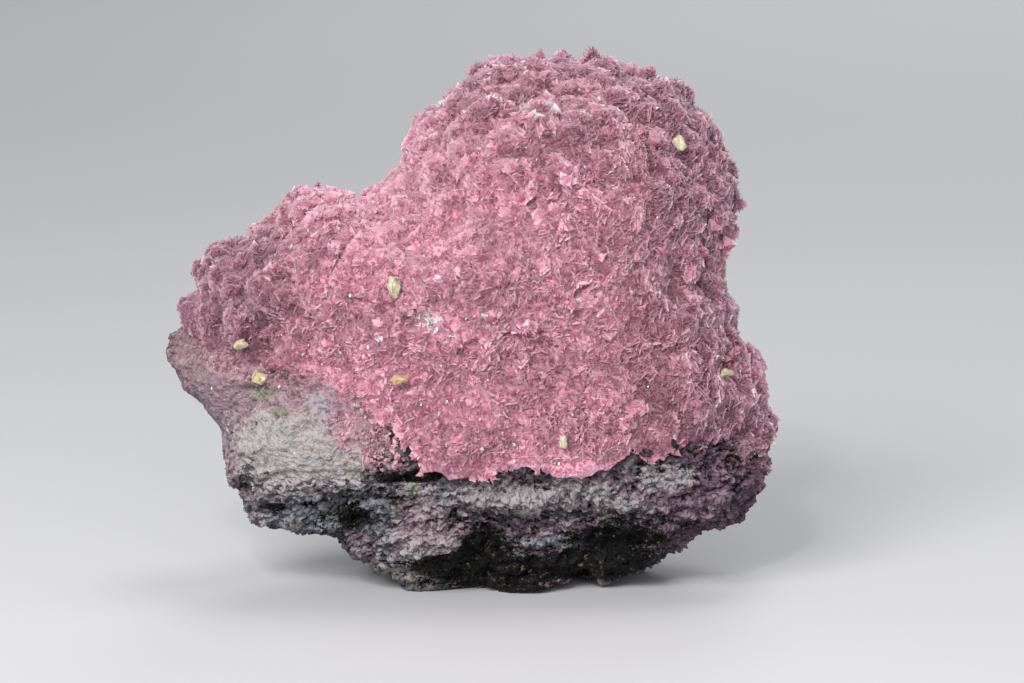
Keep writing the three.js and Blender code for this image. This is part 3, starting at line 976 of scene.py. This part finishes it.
def makeTuft(number):
    rng = random.Random(100 + number)
    corners, faces, marks = [], [], []
    count = rng.randint(*tufts["blades"])
    for blade in range(count):
        share = (blade - (count - 1) / 2) / count * 2
        lean, turn = [rng.uniform(-most, most) for most in tufts["booked"]]
        lean = tufts["spread"] * -share + lean
        if number % 2:
            lean, turn = [rng.uniform(-most, most) for most in tufts["crossed"]]
        addBlade(rng, share, math.radians(lean), math.radians(turn), corners, faces, marks)
    made = newObject(f"tuft{number}", corners, faces)
    for label, index in (("tip", 0), ("across", 1), ("blade", 2)):
        layer = made.data.attributes.new(label, "FLOAT", "POINT")
        layer.data.foreach_set("value", [mark[index] for mark in marks])
    return made


# A wedge that narrows to a foot in the ground, with a slanting cutting edge on top. Its marks are the share
# of its height, the place across it and its own chance value.
def addBlade(rng, share, lean, turn, corners, faces, marks):
    width = rng.uniform(*tufts["width"])
    thickness = rng.uniform(*tufts["thickness"])
    height = rng.uniform(*tufts["height"]) * (1 - 0.25 * abs(share))
    turned = Matrix.Rotation(turn, 3, "Z") @ Matrix.Rotation(lean, 3, "X")
    middle = Vector((rng.uniform(-0.3, 0.3), share * tufts["spacing"] * 2, 0))
    left = rng.uniform(0.75, 1)
    right = rng.uniform(0.5, 1)
    foot = rng.uniform(-0.2, 0.2)
    shape = [(-0.5, 0, left), (0.5, 0, right), (foot, -0.5, 0), (foot, 0.5, 0)]
    chance = rng.random()
    first = len(corners)
    for x, y, z in shape:
        rise = z * height - 0.7 * (z == 0)
        corners.append(turned @ Vector((x * width, y * thickness, rise)) + middle)
        marks.append((z + 0.05 * (y + 0.5), x + 0.3 * y, chance))
    for face in [(2, 1, 0), (3, 0, 1), (0, 3, 2), (1, 2, 3)]:
        faces.append([first + n for n in face])


# Share of the full density of tufts on the crust
def crustCover(shaper, place):
    x, y, _ = shaper.split(place)
    lip = nearLine(shaper, place, crustLip["line"], 4.5) * (1 - beyondLip(x))
    up = shaper.split(shaper.normal())[2] - lip * crustLip["bare"]
    cover = shaper.named("outward").between(0.4, 0.9) * up.between(-0.7, -0.35)
    cover = cover * (y.between(14, 0) * 0.35 + 0.65)
    cover = cover * (shaper.named("mound").between(-3.6, -1.8) * 0.6 + 0.4)
    patch = shaper.noise(place, 2.5, 3.0, 0.6).between(0.4, 0.6)
    return cover * (1 - nearThinRim(shaper, place, 5) * (1 - patch) * 0.7)


fringe = {
    "inputs": {"Seed": 9, "Low x": -70.0, "High x": 70.0, "Size": 0.85, "Fade": 0.45},
    "knob": ((61, 27), (2.8, 2.8)),
    "corners": [((-22.5, 35.5), (4.6, 4.6)), ((-17, 31), (5, 4))],
    "fresh": ((-19.5, 33), (7, 6)),     # where it is as pink as the crust
}


# And along the thin rims, where it goes over into the rock
def fringeCover(shaper, place):
    x, y, _ = shaper.split(place)
    distance = shaper.named("crustDistance")
    patch = shaper.noise(place, 3.5, 3.0, 0.6).between(0.38, 0.6)
    cover = distance.between(3.4, 0.3) * (distance.between(2, 0.2) * 0.5 + patch * 0.7)
    cover = cover.atLeast(shaper.oval(place, *fringe["knob"]).between(0.1, 0.4))
    upper, lower = [shaper.oval(place, *corner) for corner in fringe["corners"]]
    cover = cover.atLeast(upper.atLeast(lower).between(0.05, 0.4) * (patch * 0.5 + 0.5))
    cover = cover * y.between(4, -3)
    return cover * distance.above(0.35).atLeast(nearThinRim(shaper, place, 8)) * beyondLip(x)


def bladeShaper(kinds, material, cover):
    inputs = {"Density": tufts["density"], "Seed": 1, "Low x": -1.0, "High x": 1.0}
    shaper = Shaper("bladeScatter", {**inputs, "Size": 1.0, "Fade": 0.0})
    place = shaper.onFacePlane(shaper.position())
    placed = markTufts(shaper, place, placeTufts(shaper, place, kinds, cover))
    real = shaper.node("GeometryNodeRealizeInstances", None, {"Geometry": placed})
    values = {"Geometry": real, "Name": "OFBake", "Value": bladeSpot(shaper)}
    settings = {"data_type": "FLOAT2", "domain": "CORNER"}
    mapped = shaper.node("GeometryNodeStoreNamedAttribute", settings, values)
    values = {"Geometry": mapped, "Material": material}
    shaper.finish(shaper.node("GeometryNodeSetMaterial", None, values))
    return shaper


# Tufts on the surface between two values of x, as dense as the cover says
def placeTufts(shaper, place, kinds, cover):
    x = shaper.split(place)[0]
    here = x.above(shaper.given("Low x")) * (1 - x.above(shaper.given("High x")))
    density = cover(shaper, place) * here
    values = {"Mesh": shaper.given("Geometry"), "Seed": shaper.given("Seed")}
    values["Density"] = density * shaper.given("Density") * 1e6
    points = shaper.node("GeometryNodeDistributePointsOnFaces", None, values)
    rotation = Field(shaper, points.socket.node.outputs["Rotation"])
    tilt = math.radians(tufts["tilt"])
    swirl = shaper.noise(place, 4.5, 1.0) * 16
    leanings = (shaper.chance(-tilt, tilt, 3), shaper.chance(-tilt, tilt, 4))
    turn = shaper.joined(*leanings, swirl + shaper.chance(-0.7, 0.7, 5))
    turned = shaper.node("FunctionNodeEulerToRotation", None, {0: turn})
    values = {"Rotation": rotation, "Rotate By": turned}
    rotation = shaper.node("FunctionNodeRotateRotation", {"rotation_space": "LOCAL"}, values)
    values = {"Collection": kinds, "Separate Children": True, "Reset Children": True}
    shapes = shaper.node("GeometryNodeCollectionInfo", None, values)
    values = {"Points": points, "Instance": shapes, "Pick Instance": True, "Rotation": rotation}
    values["Scale"] = tuftSize(shaper, place) * shaper.given("Size") * mm
    return shaper.node("GeometryNodeInstanceOnPoints", None, values)


# Blades are smaller on the thin rims, at the left end and along the lip.
def tuftSize(shaper, place):
    size = shaper.chance(*tufts["size"], 6) * (coarseness(shaper, place) * 0.35 + 0.75)
    leftEnd = shaper.split(place)[0].between(-50, -60)
    size = size * (1 - nearThinRim(shaper, place, 12) * 0.5) * (1 - leftEnd * 0.35)
    return size * (1 - nearLine(shaper, place, crustLip["line"], 3) * 0.4)


# Stores on each tuft its hue, a chance value and whether it is whitish
def markTufts(shaper, place, placed):
    fresh = shaper.oval(place, *fringe["fresh"]).between(0.1, 0.5)
    hue = hueOf(shaper, place) - shaper.given("Fade") * (1 - fresh)
    marked = shaper.kept(placed, "hue", hue.atLeast(0).atLeast(fresh * 0.6), "INSTANCE")
    marked = shaper.kept(marked, "tuft", shaper.chance(0.0, 1.0, 7), "INSTANCE")
    pale = 0
    for at, reach, share in paleSpots:
        pale = (shaper.oval(place, at, reach) * share).atLeast(pale)
    return shaper.kept(marked, "pale", pale.above(shaper.chance(0.06, 0.9, 8)), "INSTANCE")


# Where a corner of a blade reads the blades' colours: its hue, and its share of the height
def bladeSpot(shaper):
    # Painted glints: about one blade in a hundred takes the white glint colour, as do the blades of the
    # pale spots.
    paintedGlint = shaper.named("tuft").above(0.9) * shaper.named("blade").above(0.88)
    glint = paintedGlint.atLeast(shaper.named("pale"))
    hue = shaper.named("hue") * 0.6 + shaper.named("blade") * 0.14 + shaper.named("tuft") * 0.1
    hue = hue * (1 - glint) + glint * 0.93 + 0.03
    return shaper.joined(hue + shaper.named("across") * 0.02, shaper.named("tip") * 0.94 + 0.02, 0)


# Light spreads a little inside the crystals.
soft = {
    "Subsurface Weight": 0.42,
    "Subsurface Radius": (1.0, 0.82, 0.86),
    "Subsurface Scale": 0.5 * mm,
}


def bladeSurface(graph):
    spot = graph.node("ShaderNodeUVMap", {"uv_map": "OFBake"})
    hue, height, _ = graph.split(spot)
    body = graph.ramp((hue - 0.03) / 0.84, rosePaint)
    # Painted shade makes each blade darker and more saturated towards its foot, and painted light makes its
    # top edge paler.
    depthShade = graph.mix(1, body, (0.84, 0.5, 0.58), "MULTIPLY")
    colour = graph.mix(height.between(0.1, 0.7), depthShade, body)
    colour = graph.mix(height.between(0.7, 0.95) * 0.6, colour, paint(236, 192, 206))
    # White with a low roughness: painted glints on a few blades, and the whitish crystals of the pale
    # spots.
    glint = hue.above(0.885)
    colour = graph.mix(glint, colour, paint(244, 238, 240))
    return {"Base Color": colour, "Roughness": 0.42 - glint * 0.26, "IOR": 1.6, **soft}


def makeBlades(ground, rockPiece):
    kinds = bpy.data.collections.new("bladeTufts")
    for number in range(tufts["kinds"]):
        tuft = makeTuft(number)
        scene.collection.objects.unlink(tuft)
        kinds.objects.link(tuft)
    material = makeMaterial("rhodoniteBlades", bladeSurface)
    shaper = bladeShaper(kinds, material, crustCover)
    edges = tufts["edges"]
    for number, (low, high) in enumerate(zip(edges, edges[1:]), start=1):
        values = {"Seed": number, "Low x": low, "High x": high}
        made = carpet(ground, f"rhodonite_blades_{number}", shaper, values)
        finishPiece(made, "pink_crust", "rhodonite_crust")
    shaper = bladeShaper(kinds, material, fringeCover)
    finishPiece(carpet(rockPiece, "rhodonite_fringe", shaper, fringe["inputs"]), "pink_crust")
    for tuft in list(kinds.objects):
        bpy.data.objects.remove(tuft)


# A piece of what the shaper grows on another piece's mesh
def carpet(under, name, shaper, values):
    made = newObject(name, [], [])
    made.data = under.data.copy()
    made.data.materials.clear()
    runShaper(made, shaper, values)
    return made


axinite = {
    "voxel": 0.15,
    "calm": 12,
    "swell": 1.0,               # mm, how uneven the faces are
    "groove": 0.06,
}
axiniteTints = [                # place, reach and colour
    ((-14.6, 43.4), (4, 4), paint(200, 166, 118)),
    ((-42.3, 43), (4, 4), paint(182, 170, 122)),
    ((50.2, 44.6), (4, 4), paint(186, 170, 134)),
]
smallDents = [(-16.8, 60.0), (-13.9, 59.8), (-14, 63.4), (-47.6, 49.4), (-44.6, 51.6)]
axiniteDents = [(at, (0.9, 1.0), -0.8) for at in smallDents] + [((-41.7, 43.4), (3, 3), -0.7)]


def axiniteShaper():
    shaper = Shaper("axiniteFaces", {"Swell": axinite["swell"], "Groove": axinite["groove"]})
    place = shaper.onFacePlane(shaper.position())
    x, y, z = shaper.split(place)
    swell = shaper.noise(place, 2.3, 2.0) - 0.5
    groove = shaper.noise(shaper.joined(x / 2.5, y / 2.5, z / 0.3), 1.0, 2.0) - 0.5
    height = swell * shaper.given("Swell") * 2 + groove * shaper.given("Groove") * 2
    height = shaper.hills(place, axiniteDents, height)
    shaper.finish(shaper.pushed(shaper.given("Geometry"), shaper.normal(), height))
    return shaper


# Waxy and a little clear
def axiniteSurface(graph):
    place = shaderPlace(graph)
    cloud = graph.noise(place, 1.4, 3.0, 0.6)
    colour = graph.mix(cloud.between(0.36, 0.64), paint(222, 214, 184), paint(206, 197, 160))
    for at, reach, tint in axiniteTints:
        share = graph.oval(place, at, reach).between(0.3, 0.5) * 0.8
        colour = graph.mix(share, colour, tint)
    dust = graph.noise(place, 0.35, 2.0, 0.6)
    colour = graph.mix(dust.between(0.68, 0.74) * 0.6, colour, paint(96, 80, 46))
    finish = {"Roughness": 0.36, "IOR": 1.68, "Transmission Weight": 0.2}
    return {"Base Color": colour, "Normal": graph.bump(cloud, 0.4, 0.1), **finish}


def makeAxinites():
    material = makeMaterial("waxyAxinite", axiniteSurface)
    shaper = axiniteShaper()
    for node in sorted(name for name in frame["nodes"] if name.startswith("axinite")):
        made = copyOfNode(node, node.replace("crystal", "grain"))
        addRemesh(made, axinite["voxel"], axinite["calm"])
        applyAll(made)
        runShaper(made, shaper, {})
        made.data.materials.append(material)
        finishPiece(made, "axinite", node)


# Loose flakes and grains that lie among the blades: place on the face, and size in mm. The plates at the
# glints, and the glints anywhere, are painted glints: whitish plates that stand for the sparkle of the
# crystals.
flakes = {
    "plates": [(-2.3, 104.2, 2.0), (20.3, 62.2, 1.5), (21.9, 60.2, 1.8), (-24.1, 60.4, 1.1),
               (-26.6, 74.1, 1.1), (29.2, 65.4, 1.5), (21.9, 92.7, 1.7), (19.1, 36.4, 1.0),
               (-21.7, 48.3, 1.1)],
    "cluster": {"at": (-8.8, 55.3), "reach": (2.2, 1.7), "count": 14, "size": (0.4, 0.9)},
    "glints": [(8, 27.5), (18.9, 28.1), (16.9, 26.7), (-5.2, 38.8), (1.3, 35.6), (-29.6, 46.5),
               (-20.9, 49.9), (-35.9, 43.2), (-38.3, 42.2), (-20.3, 44.8), (-26.8, 51.7),
               (-33.8, 48.5), (-51.8, 41.8)],
    "more": 130,                # glints anywhere
    "x": (-60, 62),
    "z": (28, 108),
    "glint": (0.25, 0.6),
}
yellowGrains = {
    "placed": [(27.4, 85.6, 0.8), (29.4, 85.2, 0.6), (47.6, 79.6, 0.8), (31.8, 70.5, 0.7),
               (9.2, 27.1, 0.5), (8, 30.7, 1.3), (13.8, 30.5, 0.8), (-8.4, 27.9, 0.6),
               (-26.2, 48.9, 1.2), (1.9, 30.1, 1.5)],
    "more": 40,
    "x": (-60, 62),
    "z": (26, 106),
    "size": (0.25, 0.45),
}
darkGrains = {"placed": [], "more": 90, "x": (-62, 30), "z": (40, 100), "size": (0.2, 0.36)}


def makeFlakesAndGlints(rng, trees):
    corners, faces = [], []
    for x, z, size in flakes["plates"]:
        addPlate(rng, trees, (x, z), size, 35, corners, faces)
    cluster = flakes["cluster"]
    for _ in range(cluster["count"]):
        spots = zip(cluster["at"], cluster["reach"])
        at = [middle + rng.gauss(0, 0.5) * reach for middle, reach in spots]
        addPlate(rng, trees, at, rng.uniform(*cluster["size"]), 55, corners, faces)
    # Painted glints: small whitish plates turned roughly forward
    for at in flakes["glints"]:
        addPlate(rng, trees, at, rng.uniform(0.5, 0.8), 18, corners, faces)
    for _ in range(flakes["more"]):
        at = (rng.uniform(*flakes["x"]), rng.uniform(*flakes["z"]))
        addPlate(rng, trees, at, rng.uniform(*flakes["glint"]), 40, corners, faces)
    made = newObject("pale_flakes", corners, faces)
    made.data.materials.append(makeMaterial("paleFlake", flakeAndGlintSurface))
    finishPiece(made, "pink_crust")


def makeGrains(rng, trees, name, setup, material, slot):
    corners, faces = [], []
    for x, z, size in setup["placed"]:
        addGrain(rng, trees, (x, z), size, corners, faces)
    for _ in range(setup["more"]):
        at = (rng.uniform(*setup["x"]), rng.uniform(*setup["z"]))
        addGrain(rng, trees, at, rng.uniform(*setup["size"]), corners, faces)
    made = newObject(name, corners, faces)
    made.data.materials.append(material)
    finishPiece(made, slot)


def surfaceTree(piece):
    corners = [corner.co for corner in piece.data.vertices]
    return BVHTree.FromPolygons(corners, [face.vertices for face in piece.data.polygons])


# The first surface behind a place on the face, and its direction
def surfaceAt(trees, at):
    start = toWorld((at[0], -70, at[1]))
    hits = [tree.ray_cast(start, worldDirection((0, 1, 0))) for tree in trees]
    hits = [hit for hit in hits if hit[0] and hit[1].y < -0.5]
    return min(hits, key=lambda hit: hit[3])[:2] if hits else None


def scattered(rng, direction, spread):
    turn = Matrix.Rotation(math.radians(rng.uniform(0, spread)), 3, direction.orthogonal())
    around = Matrix.Rotation(rng.uniform(0, 2 * math.pi), 3, direction)
    return around @ turn @ direction


# A flat crystal with an uneven outline that looks roughly forward
def addPlate(rng, trees, at, size, spread, corners, faces):
    found = surfaceAt(trees, at)
    if not found:
        return
    facing = scattered(rng, (found[1] + worldDirection((-0.25, -1, 0.3)) * 1.5).normalized(), spread)
    basis = facing.to_track_quat("Z", "X").to_matrix()
    middle = found[0] + found[1] * 0.85 * mm
    count = rng.choice((4, 5, 6))
    turn = rng.uniform(0, 2 * math.pi)
    reaches = [rng.uniform(0.7, 1.05) * size / 2 for corner in range(count)]
    first = len(corners)
    for level in (-0.09, 0.09):
        for corner, reach in enumerate(reaches):
            angle = turn + 2 * math.pi * corner / count
            local = (math.cos(angle) * reach, math.sin(angle) * reach * 0.55, level * size)
            corners.append(middle + basis @ Vector(local) * mm)
    faces.append([first + count - 1 - n for n in range(count)])
    faces.append([first + count + n for n in range(count)])
    for n in range(count):
        after = (n + 1) % count
        faces.append([first + n, first + after, first + count + after, first + count + n])


def addGrain(rng, trees, at, size, corners, faces):
    found = surfaceAt(trees, at)
    if not found:
        return
    turned = Matrix.Rotation(rng.uniform(0, 6), 3, scattered(rng, found[1], 180))
    middle = found[0] + found[1] * rng.uniform(0.7, 1.2) * mm
    first = len(corners)
    for x, y, z in [(1, 0, 0), (0, 1, 0), (-1, 0, 0), (0, -1, 0), (0, 0, 1), (0, 0, -1)]:
        local = Vector((x * rng.uniform(0.8, 1.2), y * rng.uniform(0.7, 1), z * rng.uniform(0.5, 0.8)))
        corners.append(middle + turned @ local * size / 2 * mm)
    for n in range(4):
        after = (n + 1) % 4
        faces.append([first + n, first + after, first + 4])
        faces.append([first + after, first + n, first + 5])


def flakeAndGlintSurface(graph):
    tint = graph.noise(shaderPlace(graph), 9, 2.0, 0.6).between(0.4, 0.6)
    colour = graph.mix(tint, paint(226, 212, 218), paint(212, 186, 196))
    return {"Base Color": colour, "Roughness": 0.18, "IOR": 1.7}


makeCamera()
makeLights()
makeFloor()
print("studio ready")
rockPiece = makeRock()
ground = makeCrustGround()
makeBlades(ground, rockPiece)
makeAxinites()
trees = [surfaceTree(ground), surfaceTree(rockPiece)]
rng = random.Random(41)
makeFlakesAndGlints(rng, trees)
waxy = bpy.data.materials["waxyAxinite"]
makeGrains(rng, trees, "axinite_grains", yellowGrains, waxy, "axinite")
dark = makeMaterial("darkGrain", plainSurface(paint(38, 30, 34), 0.5))
makeGrains(rng, trees, "dark_grains", darkGrains, dark, "grey_rock")
